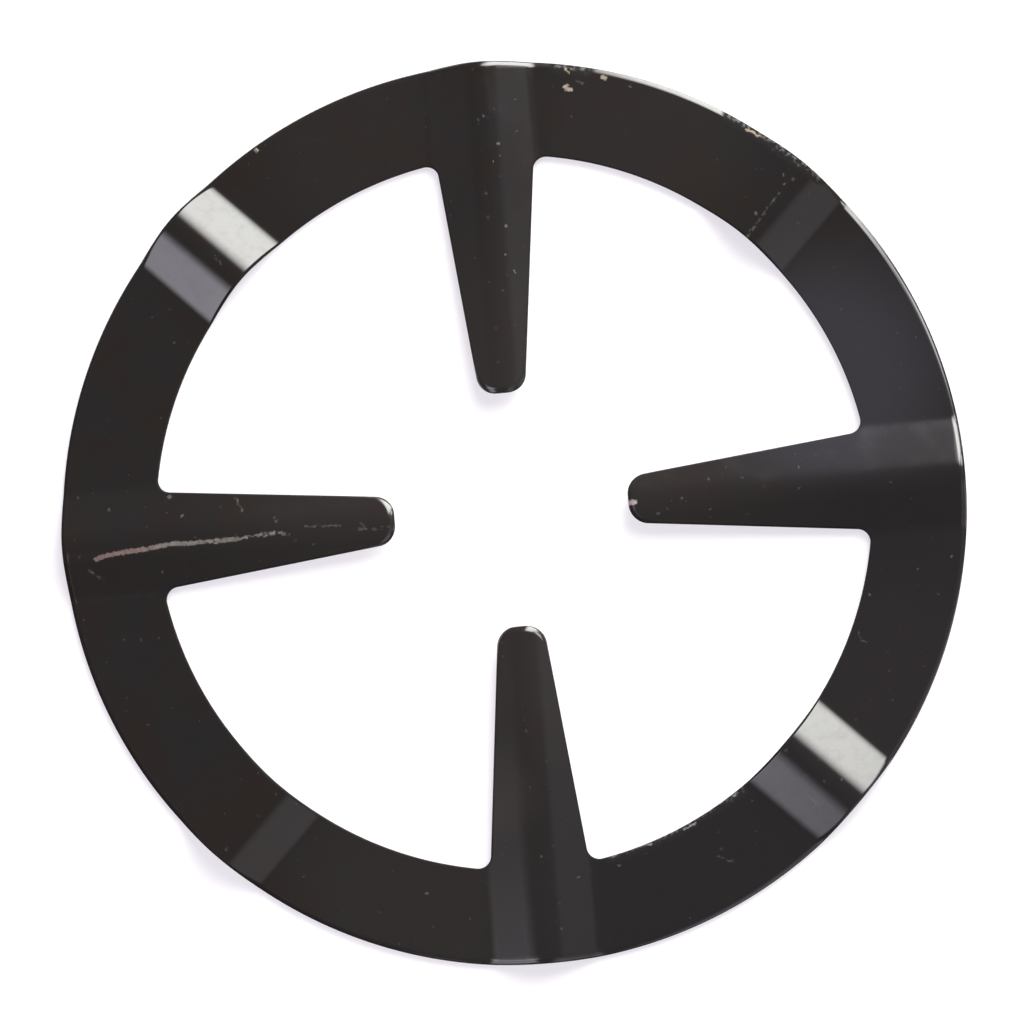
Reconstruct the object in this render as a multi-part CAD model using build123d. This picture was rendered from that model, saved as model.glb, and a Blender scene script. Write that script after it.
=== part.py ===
from build123d import *
import os
from math import cos, radians, sqrt, tan

# Round pan support for one gas burner: a pressed sheet ring with four fingers.
# Origin at the ring's centre on the hob surface, fingers along X and Y, +Z up.

# Plan of the blank, mm
outer_diameter = 220.0
ring_width = 22.9
finger_count = 4
pan_gap = 56.9
finger_root_width = 23.9
finger_tip_width = 11.1
tip_corner_radius = 4.8
root_fillet = 3.1

# Sheet and its edge, steel with enamel on both sides
sheet_thickness = 1.8
edge_round_top = 1.1
edge_round_under = 0.6

# Pressed ridges, one along every finger and one half way between
ridge_width = 25.8
ridge_slope = 20.0
crest_radius = 14.0
fold_radius = 8.0

outer_radius = outer_diameter / 2
inner_radius = outer_radius - ring_width
tip_radius = pan_gap / 2
ridge_half = ridge_width / 2
finger_pitch = 360 / finger_count
slope = radians(ridge_slope)

# Stock and cutters run this far past the finished outline
overrun = 2 * sheet_thickness

# The two edge roundings together leave some of the cut wall between them
upper_round = min(edge_round_top, 0.62 * sheet_thickness)
under_round = min(edge_round_under, 0.34 * sheet_thickness)

# Section of a ridge across its run: upper skin, then the lower skin one sheet beneath
apex = sheet_thickness + ridge_half * tan(slope)
under_half = ridge_half - sheet_thickness * tan(slope / 2)
under_apex = apex - sheet_thickness / cos(slope)
fold_run = (fold_radius + sheet_thickness) * tan(slope / 2)
strip_half = max(ridge_half + fold_run, finger_root_width / 2) + overrun

ridge_section = make_face(
    Polyline(
        (-strip_half, sheet_thickness),
        (-ridge_half, sheet_thickness),
        (0, apex),
        (ridge_half, sheet_thickness),
        (strip_half, sheet_thickness),
        (strip_half, 0),
        (under_half, 0),
        (0, under_apex),
        (-under_half, 0),
        (-strip_half, 0),
        close=True,
    )
)


def corner(sketch, x, y):
    return sketch.vertices().sort_by_distance((x, y, 0))[0]


bends = (
    (-ridge_half, sheet_thickness, fold_radius),
    (ridge_half, sheet_thickness, fold_radius),
    (-under_half, 0, fold_radius + sheet_thickness),
    (under_half, 0, fold_radius + sheet_thickness),
    (0, apex, crest_radius),
    (0, under_apex, crest_radius - sheet_thickness),
)
for x, y, bend_radius in bends:
    ridge_section = fillet(corner(ridge_section, x, y), bend_radius)


def ridge(start, angle):
    run = outer_radius + overrun - start
    return Rot(0, 0, angle) * extrude(Plane.YZ.offset(start) * ridge_section, amount=run)


def strip(start, angle):
    run = outer_radius + 2 * overrun - start
    block = Box(run, 2 * strip_half, 2 * sheet_thickness, align=(Align.MIN, Align.CENTER, Align.CENTER))
    return Rot(0, 0, angle) * Pos(start, 0, 0) * block


# Opening in the ring: a disc less the four tapered fingers
taper = (finger_root_width - finger_tip_width) / 2 / (inner_radius - tip_radius)
root_x = inner_radius + overrun
root_half = finger_root_width / 2 + taper * overrun
tip_half = finger_tip_width / 2
finger = make_face(
    Polyline(
        (tip_radius, -tip_half),
        (root_x, -root_half),
        (root_x, root_half),
        (tip_radius, tip_half),
        close=True,
    )
)
opening = Circle(inner_radius)
for n in range(finger_count):
    opening -= Rot(0, 0, n * finger_pitch) * finger
tip_reach = (tip_radius + inner_radius) / 2
tip_corners = opening.vertices().filter_by(lambda v: Vector(v.X, v.Y, 0).length < tip_reach)
opening = fillet(tip_corners, tip_corner_radius)
root_corners = opening.vertices().filter_by(lambda v: Vector(v.X, v.Y, 0).length > inner_radius - 0.01)
opening = fillet(root_corners, root_fillet)
blank = Circle(outer_radius) - opening

# Sheet: level stock, with each ridge let in where its strip is taken out
level_inner = inner_radius - root_fillet - overrun
sheet = extrude(Circle(outer_radius + overrun) - Circle(level_inner), amount=sheet_thickness)
for n in range(finger_count):
    along = n * finger_pitch
    between = along + finger_pitch / 2
    sheet = sheet - strip(level_inner - overrun, along) - strip(level_inner - overrun, between)
    sheet = sheet + ridge(tip_radius - overrun, along) + ridge(level_inner, between)

pan_support = sheet & extrude(blank, amount=4 * apex, both=True)


# Rounded enamel edge all round the outline: narrow flats that touch the rounding's radius,
# three of them on the fuller upper side and one beneath
def outline_edges(solid, side):
    walls = solid.faces().filter_by(lambda f: abs(f.normal_at().Z) < 0.02)
    skin = solid.faces().filter_by(lambda f: side * f.normal_at().Z > 0.5)
    return walls.edges() & skin.edges()


def flat_edges(solid):
    steepest_skin = (cos(radians(45)) + cos(slope)) / 2
    flats = solid.faces().filter_by(lambda f: 0.02 < f.normal_at().Z < steepest_skin)
    others = solid.faces().filter_by(lambda f: not 0.02 < f.normal_at().Z < steepest_skin)
    return flats.edges() & others.edges()


corner_flat = 2 - sqrt(2)
shoulder_flat = tan(radians(22.5)) - tan(radians(11.25))
pan_support = chamfer(outline_edges(pan_support, 1), corner_flat * upper_round)
pan_support = chamfer(flat_edges(pan_support), shoulder_flat * upper_round)
pan_support = chamfer(outline_edges(pan_support, -1), corner_flat * under_round)

os.makedirs("parts", exist_ok=True)
export_step(pan_support, "parts/pan_support.step")
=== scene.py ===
from math import cos, pi, radians, sin, tan
import bmesh
import bpy
from mathutils import Matrix, Vector


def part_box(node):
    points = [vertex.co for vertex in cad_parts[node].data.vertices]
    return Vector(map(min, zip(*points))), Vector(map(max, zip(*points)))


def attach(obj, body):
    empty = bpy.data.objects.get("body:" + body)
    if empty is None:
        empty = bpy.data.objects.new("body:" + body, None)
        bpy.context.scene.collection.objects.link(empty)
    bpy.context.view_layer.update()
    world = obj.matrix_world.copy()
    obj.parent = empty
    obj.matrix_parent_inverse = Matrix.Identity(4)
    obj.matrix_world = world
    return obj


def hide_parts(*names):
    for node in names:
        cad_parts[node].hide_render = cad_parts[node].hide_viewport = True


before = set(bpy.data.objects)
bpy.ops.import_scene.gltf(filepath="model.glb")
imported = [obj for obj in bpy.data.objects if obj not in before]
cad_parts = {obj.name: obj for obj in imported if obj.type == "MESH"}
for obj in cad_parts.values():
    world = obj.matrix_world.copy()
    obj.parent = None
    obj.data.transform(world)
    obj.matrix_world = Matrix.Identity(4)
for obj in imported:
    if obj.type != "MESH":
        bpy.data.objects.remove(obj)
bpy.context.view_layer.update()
scene = bpy.context.scene
mm = 0.001
print("frame loaded, nodes:", sorted(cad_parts))


class Wire:
    # one output socket; sums on it add Math nodes, or Vector Math nodes where a vector takes part
    def __init__(self, bench, socket):
        self.bench = bench
        self.socket = socket

    def out(self, name):
        return Wire(self.bench, self.socket.node.outputs[name])

    def work(self, operation, *parts, out=0):
        kind = "ShaderNodeVectorMath" if any(map(isVector, parts)) else "ShaderNodeMath"
        return self.bench.add(kind, {"operation": operation}, dict(enumerate(parts)), out)

    def __add__(self, other):
        return self.work("ADD", self, other)

    def __sub__(self, other):
        return self.work("SUBTRACT", self, other)

    def __rsub__(self, other):
        return self.work("SUBTRACT", other, self)

    def __mul__(self, other):
        return self.work("MULTIPLY", self, other)

    def __truediv__(self, other):
        return self.work("DIVIDE", self, other)

    def __pow__(self, other):
        return self.work("POWER", self, other)

    __radd__ = __add__
    __rmul__ = __mul__

    def least(self, other):
        return self.work("MINIMUM", self, other)

    def most(self, other):
        return self.work("MAXIMUM", self, other)

    def call(self, operation):
        return self.work(operation, self)

    def length(self):
        return self.work("LENGTH", self, out=1)

    def dot(self, other):
        return self.work("DOT_PRODUCT", self, other, out=1)

    def scale(self, vector):
        return self.bench.add("ShaderNodeVectorMath", {"operation": "SCALE"}, {0: vector, "Scale": self})

    def step(self, low, high):
        # 0 below low, 1 above high, and smooth between; low may be the greater
        bounds = {"Value": self, "From Min": low, "From Max": high}
        return self.bench.add("ShaderNodeMapRange", {"interpolation_type": "SMOOTHSTEP"}, bounds)


def isVector(part):
    if isinstance(part, Wire):
        return part.socket.type in ("VECTOR", "RGBA")
    return not isinstance(part, (int, float))


class Bench:
    # one node tree and the method that adds its nodes
    def __init__(self, tree):
        self.tree = tree

    def add(self, kind, settings=None, sockets=None, out=0):
        node = self.tree.nodes.new(kind)
        for name, value in (settings or {}).items():
            setattr(node, name, value)
        for key, value in (sockets or {}).items():
            socket = node.inputs[key]
            if isinstance(value, Wire):
                self.tree.links.new(value.socket, socket)
            elif isinstance(value, (int, float)) and socket.type == "VECTOR":
                socket.default_value = (value,) * 3
            else:
                socket.default_value = value
        return Wire(self, node.outputs[out]) if node.outputs else None

    def mix(self, factor, first, second):
        return self.add("ShaderNodeMix", {"data_type": "RGBA"}, {0: factor, 6: first, 7: second}, 2)


# the camera stands nearly overhead, a little to the lower right of the picture
cameraPlace = {
    "distance": 1569 * mm,
    "turn": 4.46,  # degrees, about the ring's own axis
    "tiltAcross": -4.78,
    "tiltUpright": -5.38,
    "slide": (0.19 * mm, 0.16 * mm),
    "lens": 227.25,
    "sensor": 36,
}


def addCamera(place):
    turn = Matrix.Rotation(radians(place["tiltUpright"]), 3, "X")
    turn = turn @ Matrix.Rotation(radians(place["tiltAcross"]), 3, "Y")
    turn = turn @ Matrix.Rotation(radians(place["turn"]), 3, "Z")
    axes = turn.transposed()
    right, up = place["slide"]
    spot = axes @ Vector((-right, -up, place["distance"]))
    data = bpy.data.cameras.new("pictureCamera")
    data.lens = place["lens"]
    data.sensor_width = place["sensor"]
    camera = bpy.data.objects.new("pictureCamera", data)
    camera.matrix_world = Matrix.Translation(spot) @ axes.to_4x4()
    scene.collection.objects.link(camera)
    scene.camera = camera


addCamera(cameraPlace)
scene.view_settings.view_transform = "Standard"
print("camera placed")

# pressed sheet: plan of one eighth of the rim, then the section of the ridges
sheet = {
    "ringWidth": 22.9 * mm,
    "panGap": 56.9 * mm,
    "fingerRootWidth": 23.9 * mm,
    "fingerTipWidth": 11.1 * mm,
    "tipCorner": 4.8 * mm,
    "rootFillet": 3.1 * mm,
    "thickness": 1.8 * mm,
    "edgeTop": 1.15 * mm,
    "edgeTilt": 45,  # where the upper rounding gives way to the cut wall
    "edgeLip": 0.03 * mm,  # the sharp turn there
    # how far in that rounding reaches: round the ring, on the ridges between fingers,
    # along the inner rim and at the tips
    "ringReach": 1.4 * mm,
    "ridgeReach": 0.65 * mm,
    "innerReach": 0.45 * mm,
    "tipReach": 1.65 * mm,
    "tipLength": 8 * mm,
    "ridgeCore": 6 * mm,  # to each side of a ridge's axis its rims keep the ridge's reach
    "ridgeWidth": 25.8 * mm,
    "ridgeSlope": 20.0,
    "crestRadius": 14.0 * mm,
    "foldRadius": 8.0 * mm,
    "dustHalf": 7 * mm,  # to each side of a crest dust gathers
    "cornerSteps": 16,
    # points from rim to rim, and how many of them shape each rounded edge
    "upperRows": (32, 9),
    "underRows": (20, 4),
    "sharpAngle": 32,
}


def spread(start, stop, count):
    return [start + (stop - start) * n / count for n in range(count)]


def rimEighth(size, outerRadius):
    # inner rim from the middle of a fingertip out to the middle of the next ridge on the ring
    innerRadius = outerRadius - size["ringWidth"]
    tip = Vector((size["panGap"] / 2, 0, 0))
    tipCorner = Vector((tip.x, size["fingerTipWidth"] / 2, 0))
    rootHalf = size["fingerRootWidth"] / 2
    rootCorner = Vector(((innerRadius**2 - rootHalf**2) ** 0.5, rootHalf, 0))
    # the straight stretches stop short of both bends
    points = [tip.lerp(tipCorner, n) for n in spread(0, 1, 10)[:3]]
    points += [tipCorner]
    points += [tipCorner.lerp(rootCorner, n) for n in spread(0, 1, 9)[1:]]
    points += [rootCorner]
    # round the ring, closer together where the ridge folds and crests
    slope = radians(size["ridgeSlope"])
    foldMiddle = size["ridgeWidth"] / 2
    foldHalf = size["foldRadius"] * tan(slope / 2)
    crestHalf = size["crestRadius"] * sin(slope)
    offsets = spread(foldMiddle + foldHalf, foldMiddle - foldHalf, 7)
    offsets += spread(foldMiddle - foldHalf, crestHalf, 5)
    offsets += spread(crestHalf, 0, 12) + [0]
    eighth = pi / 4
    rootAngle = Vector((1, 0)).angle(rootCorner.xy)
    foldAngle = eighth - offsetAngle(offsets[0], innerRadius)
    angles = spread(rootAngle, foldAngle, 24)[2:]
    angles += [eighth - offsetAngle(offset, innerRadius) for offset in offsets]
    points += [Matrix.Rotation(angle, 3, "Z") @ Vector((innerRadius, 0, 0)) for angle in angles]
    bends = [0.0] * len(points)
    bends[points.index(tipCorner)] = size["tipCorner"]
    bends[points.index(rootCorner)] = size["rootFillet"]
    return points, bends


def offsetAngle(offset, radius):
    return Vector((1, 0)).angle(Vector(((radius**2 - offset**2) ** 0.5, offset)))


def skinHeight(offset, level, foldStart, foldRadius, crestRadius, slope):
    # level ground, a fold arc, the straight flank and the crest arc, by the offset from a ridge's axis
    into = (foldStart - offset).most(0)
    inFold = into.least(foldRadius * slope.call("SINE"))
    rise = foldRadius - (foldRadius * foldRadius - inFold * inFold).call("SQRT")
    rise = rise + slope.call("TANGENT") * (into - inFold)
    inCrest = offset.least(crestRadius * slope.call("SINE"))
    dip = crestRadius / slope.call("COSINE") - slope.call("TANGENT") * inCrest
    dip = dip - (crestRadius * crestRadius - inCrest * inCrest).call("SQRT")
    return level + rise - dip


def skinGrid(bench, given, rim, columns, side, rows):
    # a grid whose columns run from the outer circle to the inner rim, along the ridges
    stations, edgeStations = rows
    outer, slope, thick = given("Outer Radius"), given("Ridge Slope"), given("Thickness")
    foldRadius, crestRadius = given("Fold Radius"), given("Crest Radius")
    edge = given("Edge Top") if side > 0 else thick - given("Edge Top")
    foldStart = given("Ridge Half Width") + foldRadius * (slope * 0.5).call("TANGENT")
    index = bench.add("GeometryNodeInputIndex")
    column = (index / stations).call("FLOOR")
    station = index - column * stations

    def along(field):
        settings = {"data_type": "FLOAT_VECTOR", "domain": "POINT"}
        sockets = {"Geometry": rim, "Value": field, "Index": column}
        sample = bench.add("GeometryNodeSampleIndex", settings, sockets)
        return bench.add("ShaderNodeSeparateXYZ", {}, {0: sample})

    point = along(bench.add("GeometryNodeInputPosition"))
    tangent = along(bench.add("GeometryNodeInputTangent"))
    x, y = point.out("X"), point.out("Y")
    across = (x - y) * 0.5**0.5
    past = (y - foldStart).most(0)
    short = (across - foldStart).most(0)
    low = (y.least(foldStart) / outer).call("ARCSINE")
    high = pi / 4 - (across.least(foldStart) / outer).call("ARCSINE")
    angle = low + (high - low) * (past / (past + short))

    last = stations - 1
    fromOuter = (station * (1 / edgeStations)).least(1)
    fromInner = ((last - station) * (1 / edgeStations)).least(1)
    middle = ((station - edgeStations) * (1 / (last - 2 * edgeStations))).most(0).least(1)
    crowding = 0.9  # the rows stand closer near both rims
    middle = middle - (middle * (2 * pi)).call("SINE") * (crowding / (2 * pi))
    outerReach = innerReach = edge
    if side > 0:
        ridgeReach, ringReach, core = given("Ridge Reach"), given("Ring Reach"), given("Ridge Core")
        nearTip = (x - given("Tip Radius")).step(given("Tip Length"), 0)
        innerReach = ridgeReach + (given("Inner Reach") - ridgeReach) * across.step(core, foldStart)
        innerReach = innerReach + (given("Tip Reach") - innerReach) * nearTip
        outerAcross = (pi / 4 - angle).call("SINE") * outer
        outerReach = ridgeReach + (ringReach - ridgeReach) * outerAcross.step(core, foldStart)

    def edgeProfile(share, reach):
        # inset from the rim and fall below the skin, the fall as a part of the rim's depth
        if side < 0:
            turn = share * (pi / 2)
            return reach * (1 - turn.call("COSINE")), 1 - turn.call("SINE")
        steps = share * edgeStations
        fullTilt, lip = given("Edge Tilt"), given("Edge Lip")
        tilt = fullTilt * (1 - ((steps - 2) * (1 / (edgeStations - 2))).most(0).least(1))
        inset = lip * (steps - 1).most(0).least(1)
        inset = inset + (reach - lip) * (1 - tilt.call("SINE") / fullTilt.call("SINE"))
        depth = (reach * (fullTilt * 0.5).call("TANGENT") / edge).least(0.9)
        fall = depth * (1 - tilt.call("COSINE")) / (1 - fullTilt.call("COSINE"))
        return inset, 1 - (1 - fall) * steps.least(1)

    outerInset, outerFall = edgeProfile(fromOuter, outerReach)
    innerInset, innerFall = edgeProfile(fromInner, innerReach)
    startX = (outer - outerInset) * angle.call("COSINE")
    startY = (outer - outerInset) * angle.call("SINE")
    endX = x + tangent.out("Y") * innerInset
    endY = y - tangent.out("X") * innerInset
    x = startX + (endX - startX) * middle
    y = startY + (endY - startY) * middle

    offset = y.least((x - y) * 0.5**0.5).most(0)
    upper = skinHeight(offset, thick, foldStart, foldRadius, crestRadius, slope)
    under = skinHeight(offset, 0, foldStart, foldRadius + thick, crestRadius - thick, slope)
    rimHeight = upper - (upper - under) * (given("Edge Top") / thick)
    skin = upper if side > 0 else under
    z = skin + (rimHeight - skin) * outerFall.most(innerFall)
    grid = bench.add("GeometryNodeMeshGrid", {}, {"Vertices X": columns, "Vertices Y": stations})
    place = bench.add("ShaderNodeCombineXYZ", {}, {"X": x, "Y": y, "Z": z})
    skinFields = {
        "upper": float(side > 0),
        "crest": offset.step(given("Dust Half Width"), 0),
        "outerRim": 1 - fromOuter,
        "innerRim": 1 - fromInner,
    }
    onPoints = {"data_type": "FLOAT", "domain": "POINT"}
    for name, field in skinFields.items():
        sockets = {"Geometry": grid, "Name": name, "Value": field}
        grid = bench.add("GeometryNodeStoreNamedAttribute", onPoints, sockets)
    return bench.add("GeometryNodeSetPosition", {}, {"Geometry": grid, "Position": place})


def join(bench, *parts):
    joined = bench.add("GeometryNodeJoinGeometry")
    for part in parts:
        bench.tree.links.new(part.socket, joined.socket.node.inputs[0])
    return joined


def sheetTree(sizeNames, cornerSteps, upperRows, underRows):
    tree = bpy.data.node_groups.new("pressedSheet", "GeometryNodeTree")
    tree.interface.new_socket("Rim", in_out="INPUT", socket_type="NodeSocketGeometry")
    for name in sizeNames:
        tree.interface.new_socket(name, in_out="INPUT", socket_type="NodeSocketFloat")
    tree.interface.new_socket("Enamel", in_out="INPUT", socket_type="NodeSocketMaterial")
    tree.interface.new_socket("Sheet", in_out="OUTPUT", socket_type="NodeSocketGeometry")
    bench = Bench(tree)
    given = bench.add("NodeGroupInput").out
    rim = bench.add("GeometryNodeMeshToCurve", {}, {"Mesh": given("Rim")})
    bend = bench.add("GeometryNodeInputNamedAttribute", {"data_type": "FLOAT"}, {"Name": "bend"})
    rim = bench.add(
        "GeometryNodeFilletCurve",
        {"mode": "POLY"},
        {"Curve": rim, "Count": cornerSteps, "Radius": bend},
    )
    columns = bench.add("GeometryNodeAttributeDomainSize", {"component": "CURVE"}, {"Geometry": rim})
    upper = skinGrid(bench, given, rim, columns, 1, upperRows)
    under = skinGrid(bench, given, rim, columns, -1, underRows)
    half = join(bench, upper, bench.add("GeometryNodeFlipFaces", {}, {"Mesh": under}))
    mirrored = bench.add("GeometryNodeTransform", {}, {"Geometry": half, "Scale": (1, -1, 1)})
    quarter = join(bench, half, bench.add("GeometryNodeFlipFaces", {}, {"Mesh": mirrored}))
    # four fingers, a quarter turn apart
    spots = bench.add("GeometryNodeMeshLine", {}, {"Count": 4, "Offset": (0, 0, 0)})
    quarterTurn = bench.add("GeometryNodeInputIndex") * (pi / 2)
    turns = bench.add("ShaderNodeCombineXYZ", {}, {"Z": quarterTurn})
    ring = bench.add(
        "GeometryNodeInstanceOnPoints",
        {},
        {"Points": spots, "Instance": quarter, "Rotation": turns},
    )
    ring = bench.add("GeometryNodeRealizeInstances", {}, {"Geometry": ring})
    ring = bench.add("GeometryNodeMergeByDistance", {}, {"Geometry": ring, "Distance": 0.01 * mm})
    ring = bench.add("GeometryNodeSetShadeSmooth", {}, {"Geometry": ring})
    angle = bench.add("GeometryNodeInputMeshEdgeAngle")
    sockets = {0: angle, 1: given("Sharp Angle")}
    sharp = bench.add("FunctionNodeCompare", {"operation": "GREATER_THAN"}, sockets)
    ring = bench.add(
        "GeometryNodeSetShadeSmooth",
        {"domain": "EDGE"},
        {"Geometry": ring, "Selection": sharp, "Shade Smooth": False},
    )
    ring = bench.add("GeometryNodeSetMaterial", {}, {"Geometry": ring, "Material": given("Enamel")})
    bench.add("NodeGroupOutput", {}, {0: ring})
    return tree


def addSheet(size, enamel):
    low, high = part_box("pan_support")
    outerRadius = (high.x - low.x) / 2
    points, bends = rimEighth(size, outerRadius)
    rimMesh = bpy.data.meshes.new("rimEighth")
    rimMesh.from_pydata(points, [(n, n + 1) for n in range(len(points) - 1)], [])
    rimMesh.attributes.new("bend", "FLOAT", "POINT").data.foreach_set("value", bends)
    piece = bpy.data.objects.new("enamelled_sheet", rimMesh)
    scene.collection.objects.link(piece)
    values = {
        "Outer Radius": outerRadius,
        "Tip Radius": size["panGap"] / 2,
        "Tip Length": size["tipLength"],
        "Tip Reach": size["tipReach"],
        "Ring Reach": size["ringReach"],
        "Ridge Reach": size["ridgeReach"],
        "Ridge Core": size["ridgeCore"],
        "Inner Reach": size["innerReach"],
        "Thickness": size["thickness"],
        "Edge Top": size["edgeTop"],
        "Edge Tilt": radians(size["edgeTilt"]),
        "Edge Lip": size["edgeLip"],
        "Ridge Half Width": size["ridgeWidth"] / 2,
        "Ridge Slope": radians(size["ridgeSlope"]),
        "Crest Radius": size["crestRadius"],
        "Fold Radius": size["foldRadius"],
        "Dust Half Width": size["dustHalf"],
        "Sharp Angle": radians(size["sharpAngle"]),
    }
    tree = sheetTree(values, size["cornerSteps"], size["upperRows"], size["underRows"])
    values["Enamel"] = enamel
    modifier = piece.modifiers.new("pressedSheet", "NODES")
    modifier.node_group = tree
    for socket in tree.interface.items_tree:
        if socket.name in values:
            modifier[socket.identifier] = values[socket.name]
    evaluated = piece.evaluated_get(bpy.context.evaluated_depsgraph_get())
    mesh = bpy.data.meshes.new_from_object(evaluated)
    piece.modifiers.remove(modifier)
    # the mirrored halves are turned to face outwards
    shell = bmesh.new()
    shell.from_mesh(mesh)
    bmesh.ops.recalc_face_normals(shell, faces=shell.faces)
    shell.to_mesh(mesh)
    shell.free()
    piece.data = mesh
    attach(piece, "root")
    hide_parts("pan_support")
    return piece


# black enamel, what use has left on it, and the sheen painted into its colour
enamel = {
    "brown": (0.0118, 0.0082, 0.0072, 1),
    "grey": (0.0098, 0.0090, 0.0094, 1),
    "paintedBlueSheen": (0.0250, 0.0232, 0.0292, 1),  # painted reflection: bluish sheen on the upper side of the right finger
    "slate": (0.0114, 0.0093, 0.0106, 1),  # cooler tone of the lower right
    "paintedSheen": (0.0240, 0.0196, 0.0188, 1),  # painted sheen: a lighter tint standing in for reflected room light
    "dust": (0.115, 0.110, 0.102, 1),
    "clay": (0.180, 0.112, 0.102, 1),  # reddish ground coat at the ring end of the streak
    "sand": (0.190, 0.162, 0.141, 1),
    "chip": (0.270, 0.225, 0.170, 1),
    "rust": (0.070, 0.042, 0.026, 1),  # round the chips
    "flake": (0.195, 0.195, 0.184, 1),
    "pale": (0.360, 0.300, 0.300, 1),  # bare patch at a fingertip
    "matt": 0.0100,  # lightness that a surface without shine has over the glaze
    "roughness": 0.11,
    "index": 1.7,
    "peel": 0.0012,  # depth of the enamel's faint ripple, mm
    "chipDepth": 0.05,
}

# marks on the upper skin, millimetres from the ring's middle
marks = {
    # a run is where a mark fades in: from none to full
    # painted reflection: where the bluish sheen beside the right finger lies and fades
    "blueSheenMiddle": (78, 26),
    "blueSheenRun": (40, 14),
    "blueSheenSide": (-3, 5),
    "slateRun": (25, 75),
    # painted sheen: middle, reach and strength of each patch, then what the fingers have at their tips
    "sheenPatches": (
        (40, 92, 38, 0.36),
        (-30, 93, 34, 0.22),
        (-32, -93, 45, 0.34),
        (88, -52, 38, 0.20),
        (-12, -68, 18, 0.90),
    ),
    "fingerSheen": 0.50,
    "fingerRun": (88, 34),
    # bare streak along the left finger, from the ring inwards: place, and half the width from there on
    "streak": (
        (-101.8, -3.4, 0.50),
        (-98.3, -2.7, 0.48),
        (-95.3, -2.4, 0.55),
        (-90.0, -2.1, 0.50),
        (-84.4, -1.5, 0.42),
        (-82.6, -1.3, 0.52),
        (-79.5, -1.6, 0.46),
        (-75.6, -1.5, 0.36),
        (-72.4, -1.6, 0.52),
        (-66.8, -1.5, 0.30),
        (-64.0, -1.2, 0.20),
        (-62.4, -1.3, 0.42),
        (-60.9, -0.9, 0.60),
        (-58.9, -1.1, 0.40),
        (-57.4, -0.7, 0.34),
        (-55.9, -1.0, 0.32),
        (-54.3, -1.5, 0),
    ),
    "clayEnd": (-92, -84),
    # faint scratches, each from one end to the other
    "hairlines": (
        ((-50.2, 0.0), (-47.1, 0.1)),
        ((-46.4, -0.2), (-41.5, -0.4)),
        ((-38.2, -1.8), (-36.2, -1.6)),
        ((-36.6, -0.2), (-35.5, -1.5)),
        ((-33.7, -1.9), (-29.9, -1.7)),
        ((-66.8, 8.9), (-65.3, 5.2)),
        ((-67.2, 67.9), (-65.6, 65.4)),
        ((-103.8, -6.2), (-102.8, -7.0)),
        ((-101.7, -7.7), (-100.6, -8.5)),
        ((71.2, 71.6), (62.9, 61.8)),
        ((23.3, 103.8), (25.2, 102.9)),
        ((43.0, -87.6), (46.5, -89.0)),
        ((66.0, -75.2), (67.8, -76.6)),
        ((81.2, -36.6), (81.6, -38.4)),
        ((81.6, -38.4), (82.7, -38.9)),
    ),
    "hairHalf": 0.3,
    # scuffed stretches of edge, dull and flecked
    "scuffs": (
        ((19.5, 107.9), (26.5, 106.2)),
        ((60.5, 91.8), (67.8, 86.4)),
        ((67.8, 86.4), (81.0, 74.4)),
        ((17.5, -85.3), (32.5, -80.8)),
        ((32.5, -80.8), (49.5, -72.0)),
    ),
    "scuffHalf": 1.3,
    "wornSide": (-0.906, -0.423),  # towards the stretch of outer rim that has lost its shine
    "tipEnd": (34, 40),
    # chips down to the ground coat: from one end to the other, and half the width
    "chips": (
        ((20.8, 102.3), (21.6, 102.7), 0.30),
        ((20.9, 102.2), (22.5, 101.4), 0.28),
        ((21.4, 106.8), (22.2, 105.7), 0.20),
        ((30.2, 104.0), (31.0, 103.7), 0.32),
        ((64.2, 87.9), (67.2, 86.0), 0.30),
        ((28.8, -0.8), (29.9, -0.9), 0.44),
        ((26.4, -83.5), (27.3, -83.2), 0.24),
        ((35.4, -80.5), (38.4, -79.1), 0.18),
        ((47.9, -73.4), (48.5, -73.0), 0.20),
        ((-55.7, 93.8), (-55.4, 93.5), 0.36),
    ),
    "chipRun": (40, 0),  # the chips grow greyer towards the lower half
    "paleMiddle": (29.5, -0.9),
    "paleRun": (3, 2),
    # specks that stand out from the fine dust: place and size
    "specks": (
        (0.9, 96.5, 0.6),
        (3.9, 89.3, 0.5),
        (2.3, 85.1, 0.4),
        (4.1, 69.0, 0.5),
        (3.5, 62.1, 0.4),
        (5.4, 58.0, 0.5),
        (35.5, -4.1, 0.55),
        (37.8, -3.0, 0.4),
        (41.5, -0.9, 0.45),
        (48.1, -4.1, 0.4),
        (9.1, -89.9, 0.5),
        (0.7, -84.1, 0.45),
        (19.1, -87.7, 0.5),
        (-27.8, -90.7, 0.5),
        (-57.1, 2.0, 0.5),
        (-83.1, 10.4, 0.8),
        (-80.1, 5.4, 0.5),
        (-86.1, -7.8, 0.5),
        (-98.0, 8.5, 0.5),
        (36.9, 101.0, 0.5),
        (76.1, 77.5, 0.6),
        (72.4, 75.5, 0.6),
        (72.3, 73.2, 0.6),
        (64.8, 66.6, 0.6),
        (62.5, 61.2, 0.7),
        (84.6, -27.7, 0.4),
        (105.0, -20.3, 0.45),
    ),
    "dustCell": 4.4,  # about how far apart the dust lies
    "dustSize": 0.6,
}


def strokeGap(plan, start, end):
    # how far a place lies from a straight stroke
    start, end = Vector((*start, 0)), Vector((*end, 0))
    run = end - start
    along = (plan - start).dot(run / run.length_squared).most(0).least(1)
    return (plan - start - along.scale(run)).length()


def nearest(gaps):
    gap = next(gaps)
    for other in gaps:
        gap = gap.least(other)
    return gap


def spotGaps(plan, spots):
    return ((plan - (x, y, 0)).length() * (1 / size) for x, y, size in spots)


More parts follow.
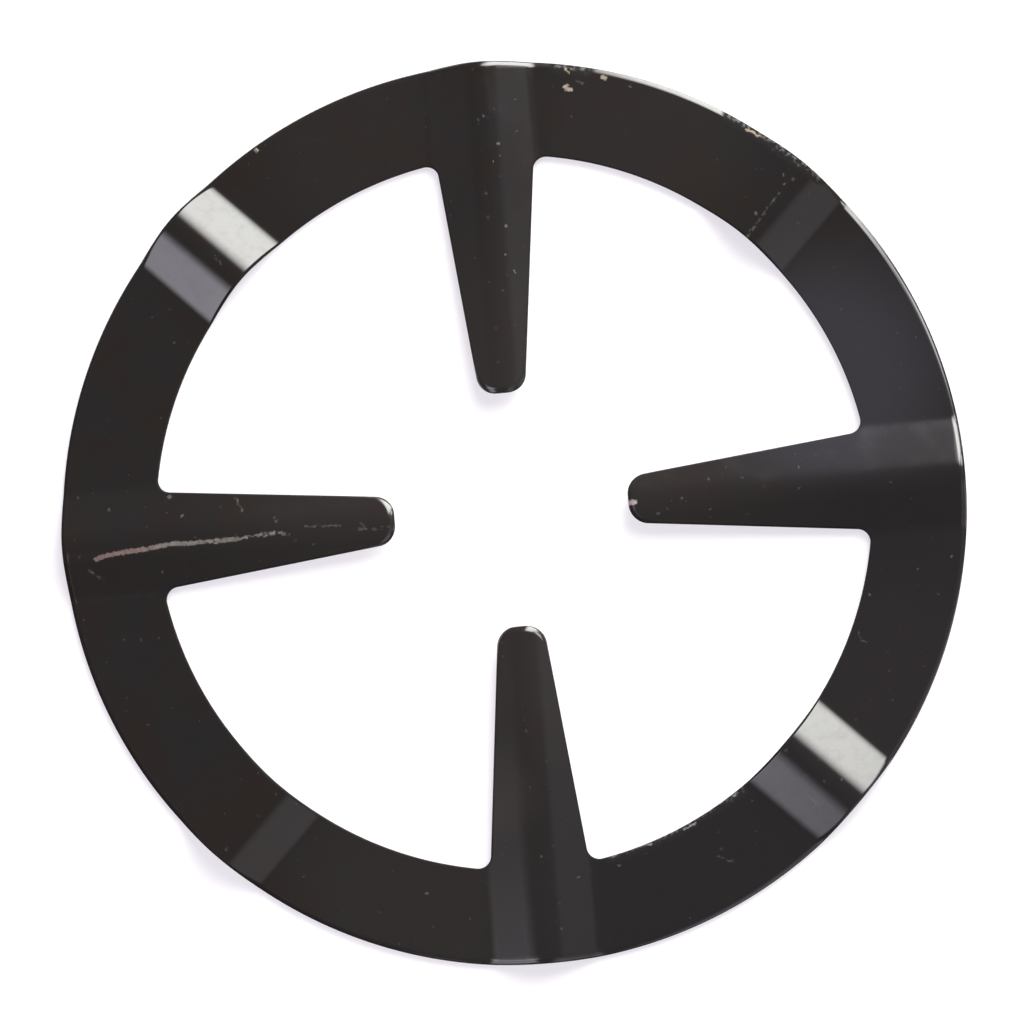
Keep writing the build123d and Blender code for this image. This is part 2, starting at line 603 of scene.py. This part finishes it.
def blackEnamel(look, mark):
    material = bpy.data.materials.new("blackEnamel")
    material.use_nodes = True
    material.node_tree.nodes.clear()
    bench = Bench(material.node_tree)

    def skin(name):
        return bench.add("ShaderNodeAttribute", {"attribute_name": name}, {}, "Fac")

    def noise(scale, detail=2.0, out="Fac", shift=0.0):
        sockets = {"Vector": plan + shift, "Scale": scale, "Detail": detail}
        return bench.add("ShaderNodeTexNoise", {}, sockets, out)

    # places as seen from above, millimetres, and the same with a ragged grain to break up edges
    plan = bench.add("ShaderNodeTexCoord").out("Object") * (1 / mm, 1 / mm, 0)
    ragged = plan + (noise(1.3, 4, "Color") - 0.5) * (1.5, 1.5, 0)
    axes = bench.add("ShaderNodeSeparateXYZ", {}, {0: plan})
    upper = skin("upper")

    # streak: whole at the ring, breaking up towards the tip
    grain = plan + (noise(1.7, 4, "Color", 5) - 0.5) * (1.1, 1.1, 0)
    nodes = mark["streak"]
    strokes = zip(nodes, nodes[1:])
    gap = nearest(strokeGap(grain, start[:2], end[:2]) / start[2] for start, end in strokes)
    along = axes.out("X").step(nodes[0][0], nodes[-1][0])
    breaks = along * 0.3 + 0.1
    whole = noise(0.9, 3, "Fac", 70).step(breaks, breaks + 0.15)
    streak = gap.step(1.35, 0.65) * (whole * 0.8 + 0.2 * (1 - along))

    gap = nearest(strokeGap(ragged, *ends) for ends in mark["hairlines"])
    hairline = gap.step(mark["hairHalf"] + 0.15, 0.05) * noise(0.8, 2, "Fac", 10).step(0.38, 0.62) * 0.48
    chipGap = nearest(strokeGap(ragged, *ends) / half for *ends, half in mark["chips"])
    chip = chipGap.step(1.8, 0.8)
    speck = nearest(spotGaps(ragged, mark["specks"])).step(1, 0.1) * 0.6

    # scuffed edges are dull and flecked with pale grains
    gap = nearest(strokeGap(ragged, *ends) for ends in mark["scuffs"])
    scuff = gap.step(mark["scuffHalf"] * 2, mark["scuffHalf"])
    fleck = noise(1.0, 3, "Fac", 90).step(0.46, 0.64) * gap.step(mark["scuffHalf"], 0.2) * 0.55
    # rims without shine: the outer one on the worn side, the inner one but for three of the tips
    side = plan.dot((*mark["wornSide"], 0)) / plan.length()
    beyondTip = plan.length().step(*mark["tipEnd"])
    worn = skin("outerRim").step(0.02, 0.15) * side.step(0.5, 0.72)
    worn = worn + skin("innerRim").step(0.02, 0.15) * beyondTip
    worn = worn + skin("innerRim").step(0, 0.4) * side.step(-0.4, -0.72) * (1 - beyondTip)
    lip = skin("innerRim").step(0.66, 0.76) * side.step(0.1, 0.4)  # the sharp turn at the worn side's tips
    smear = noise(0.5, 5, "Fac", 33).step(0.45, 0.75) * 0.08
    dull = scuff.most(worn).most(lip).most(smear)

    # fine dust and short fibres, thicker on the crests
    dust = 0.0
    for turn, stretch in ((0.0, 1.0), (0.5, 0.4)):
        sockets = {"Vector": ragged, "Angle": turn}
        places = bench.add("ShaderNodeVectorRotate", {"rotation_type": "Z_AXIS"}, sockets)
        sockets = {"Vector": places * (stretch, 1, 0), "Scale": 1 / mark["dustCell"]}
        cells = bench.add("ShaderNodeTexVoronoi", {"voronoi_dimensions": "2D"}, sockets)
        chance = bench.add("ShaderNodeSeparateXYZ", {}, {0: cells.out("Color")})
        size = chance.out("X") ** 4 * mark["dustSize"] * (0.6 + 0.5 * skin("crest")) * stretch
        mote = (cells.out("Distance") * mark["dustCell"]).step(size * 1.2, 0)
        dust = dust + mote * (0.08 + 0.36 * chance.out("Y"))

    # painted reflection: a lighter bluish tint on the upper side of the right finger
    paintedBlueSheen = (plan - (*mark["blueSheenMiddle"], 0)).length().step(*mark["blueSheenRun"])
    paintedBlueSheen = paintedBlueSheen * axes.out("Y").step(*mark["blueSheenSide"])
    # painted sheen: a lighter tint over the fingers and in patches on the ring
    paintedSheen = plan.length().step(*mark["fingerRun"]) * mark["fingerSheen"]
    for x, y, reach, strength in mark["sheenPatches"]:
        paintedSheen = paintedSheen.most((plan - (x, y, 0)).length().step(reach, reach * 0.3) * strength)
    tone = noise(0.05, 3) * 0.7 + noise(0.22, 2, "Fac", 15) * 0.3
    colour = bench.mix(tone.step(0.4, 0.62), look["brown"], look["grey"])
    colour = bench.mix(plan.dot((0.7, -0.7, 0)).step(*mark["slateRun"]), colour, look["slate"])
    # painted sheen, then the painted bluish reflection, laid into the colour
    colour = bench.mix(paintedSheen * upper, colour, look["paintedSheen"])
    colour = bench.mix(paintedBlueSheen * upper, colour, look["paintedBlueSheen"])
    grains = ((dust + speck + hairline) * upper).least(0.9)
    colour = bench.mix(grains, colour, look["dust"])
    colour = bench.mix(fleck * upper, colour, look["flake"])
    ground = bench.mix(axes.out("X").step(*mark["clayEnd"]), look["clay"], look["sand"])
    uneven = noise(0.9, 3, "Fac", 55).step(0.40, 0.60) * (0.40 + 0.55 * along)
    ground = bench.mix(uneven, ground, ground * 0.38)
    chipGround = bench.mix(axes.out("Y").step(*mark["chipRun"]), look["chip"], look["flake"])
    chipGround = bench.mix(chipGap.step(1.3, 0.5), look["rust"], chipGround)
    ground = bench.mix(chip.step(0, 0.3), ground, chipGround)
    pale = (plan - (*mark["paleMiddle"], 0)).length().step(*mark["paleRun"])
    ground = bench.mix(pale, ground, look["pale"])
    bare = streak.most(chip) * upper
    colour = bench.mix(bare, colour, ground)

    rough = look["roughness"] + noise(0.12, 4, "Fac", 25).step(0.45, 0.8) * 0.05 + grains * 0.3
    rough = rough + (0.6 - rough) * bare
    height = noise(0.35, 2) * look["peel"] - bare * look["chipDepth"]
    bump = bench.add("ShaderNodeBump", {}, {"Distance": mm, "Height": height})
    glaze = bench.add(
        "ShaderNodeBsdfPrincipled",
        {},
        {"Base Color": colour, "Roughness": rough, "IOR": look["index"], "Normal": bump},
    )
    matt = bench.add("ShaderNodeBsdfDiffuse", {}, {"Color": colour + look["matt"], "Normal": bump})
    shader = bench.add("ShaderNodeMixShader", {}, {0: dull * upper, 1: glaze, 2: matt})
    bench.add("ShaderNodeOutputMaterial", {}, {"Surface": shader})
    return material


enamelledSheet = addSheet(sheet, blackEnamel(enamel, marks))
print("sheet made,", len(enamelledSheet.data.polygons), "faces")

studio = {
    "floorColour": (0.50, 0.50, 0.50, 1),
    "floorDrop": 0.03 * mm,
    "floorSide": 8.0,
    "floorLift": (0.59, 0.565, 0.61, 1),  # seen on top of the lit floor, so that the ground reads white
    "room": (0.168, 0.162, 0.158, 1),
    # azimuth runs clockwise from the top of the picture, lean is the tilt up, degrees; lengths in metres
    "lampDistance": 1.5,
    "lamps": (
        {
            "name": "key",  # a tall screen that stands on the floor and dims upwards
            "azimuth": 25.2,
            "lean": 0,
            "height": 2.38,
            "size": (1.55, 4.76),
            "radiance": 11.3,
            "tint": (1.0, 1.0, 0.965),
            "across": (1, 0.36),
            "along": (1, -0.61),
        },
        {
            "name": "side",  # a narrow softbox beside it, for the rim on the right
            "azimuth": 57,
            "lean": 33,
            "size": (0.60, 1.0),
            "radiance": 6.5,
            "tint": (1.0, 1.0, 0.965),
            "corner": (1.4, 0.4),
        },
        {
            "name": "fill",  # a softbox on its corner
            "azimuth": 236.8,
            "lean": 48.6,
            "size": (1.27, 2.06),
            "radiance": 3.35,
            "tint": (0.915, 0.885, 1.0),
            "corner": (1, 0),
            "along": (0.75, 0.4),
        },
        {
            "name": "low",  # a smaller one beside it, nearer the floor
            "azimuth": 212,
            "lean": 28,
            "size": (1.0, 1.15),
            "radiance": 2.1,
            "tint": (0.95, 0.92, 1.0),
            "corner": (1.4, 0.4),
        },
    ),
    # soft light off the walls
    "glows": (
        {"azimuth": 130, "elevation": 48, "reach": 26, "colour": (0.355, 0.340, 0.370, 1)},
        {"azimuth": 105, "elevation": 14, "reach": 18, "colour": (0.95, 0.92, 1.0, 1)},
        {"azimuth": 72, "elevation": 47, "reach": 22, "colour": (0.160, 0.162, 0.182, 1)},
        {"azimuth": 152, "elevation": 26, "reach": 20, "colour": (0.85, 0.82, 0.88, 1)},
        {"azimuth": 266, "elevation": 45, "reach": 25, "colour": (0.070, 0.066, 0.064, 1)},
    ),
}


def skyPoint(azimuth, elevation, distance):
    turn = Matrix.Rotation(-radians(azimuth + cameraPlace["turn"]), 3, "Z")
    rise = Matrix.Rotation(radians(elevation), 3, "X")
    return turn @ rise @ Vector((0, distance, 0))


def addLamp(lamp, distance):
    data = bpy.data.lights.new(lamp["name"] + "Lamp", "AREA")
    data.shape = "RECTANGLE"
    data.size, data.size_y = lamp["size"]
    data.energy = lamp["radiance"] * pi * data.size * data.size_y
    data.color = lamp["tint"]
    data.use_nodes = True
    data.node_tree.nodes.clear()
    bench = Bench(data.node_tree)
    # the cloth dims towards its edges
    cloth = bench.add("ShaderNodeNewGeometry").out("Parametric") * 2 - 1
    axes = bench.add("ShaderNodeSeparateXYZ", {}, {0: cloth})
    across, along = axes.out("X").call("ABSOLUTE"), axes.out("Y")
    places = {"across": across, "along": along, "corner": across + along.call("ABSOLUTE")}
    glow = 1.0
    for name, place in places.items():
        if name in lamp:
            glow = glow * place.step(*lamp[name])
    bench.add("ShaderNodeOutputLight", {}, {0: bench.add("ShaderNodeEmission", {}, {"Strength": glow})})
    lampObject = bpy.data.objects.new(data.name, data)
    away = skyPoint(lamp["azimuth"], lamp["lean"], distance)
    lampObject.location = away + Vector((0, 0, lamp.get("height", 0)))
    lampObject.rotation_euler = away.to_track_quat("Z", "Y").to_euler()
    lampObject.visible_camera = False
    scene.collection.objects.link(lampObject)


def addFloor(side, drop, colour, lift):
    mesh = bpy.data.meshes.new("floor")
    half = side / 2
    corners = [(-half, -half, -drop), (half, -half, -drop), (half, half, -drop), (-half, half, -drop)]
    mesh.from_pydata(corners, [], [(0, 1, 2, 3)])
    floor = bpy.data.objects.new("floor", mesh)
    scene.collection.objects.link(floor)
    material = bpy.data.materials.new("paleFloor")
    material.use_nodes = True
    material.node_tree.nodes.clear()
    bench = Bench(material.node_tree)
    path = bench.add("ShaderNodeLightPath")
    seen = path.out("Is Camera Ray").most(path.out("Is Glossy Ray")).most(path.out("Is Transmission Ray"))
    shade = bench.add("ShaderNodeBsdfDiffuse", {}, {"Color": colour})
    glow = bench.add("ShaderNodeEmission", {}, {"Color": lift})
    lifted = bench.add("ShaderNodeAddShader", {}, {0: shade, 1: glow})
    surface = bench.add("ShaderNodeMixShader", {}, {0: seen, 1: shade, 2: lifted})
    bench.add("ShaderNodeOutputMaterial", {}, {"Surface": surface})
    mesh.materials.append(material)


def addRoom(colour, glows):
    world = bpy.data.worlds.new("room")
    world.use_nodes = True
    world.node_tree.nodes.clear()
    bench = Bench(world.node_tree)
    direction = bench.add("ShaderNodeTexCoord").out("Generated")
    light = colour
    for glow in glows:
        towards = direction.dot(skyPoint(glow["azimuth"], glow["elevation"], 1))
        near = towards.step(cos(radians(glow["reach"])), 1)
        sockets = {0: near, 6: light, 7: glow["colour"]}
        light = bench.add("ShaderNodeMix", {"data_type": "RGBA", "blend_type": "ADD"}, sockets, 2)
    sky = bench.add("ShaderNodeBackground", {}, {"Color": light})
    bench.add("ShaderNodeOutputWorld", {}, {"Surface": sky})
    scene.world = world


addFloor(studio["floorSide"], studio["floorDrop"], studio["floorColour"], studio["floorLift"])
addRoom(studio["room"], studio["glows"])
for lamp in studio["lamps"]:
    addLamp(lamp, studio["lampDistance"])
print("studio set,", len(studio["lamps"]), "lamps")
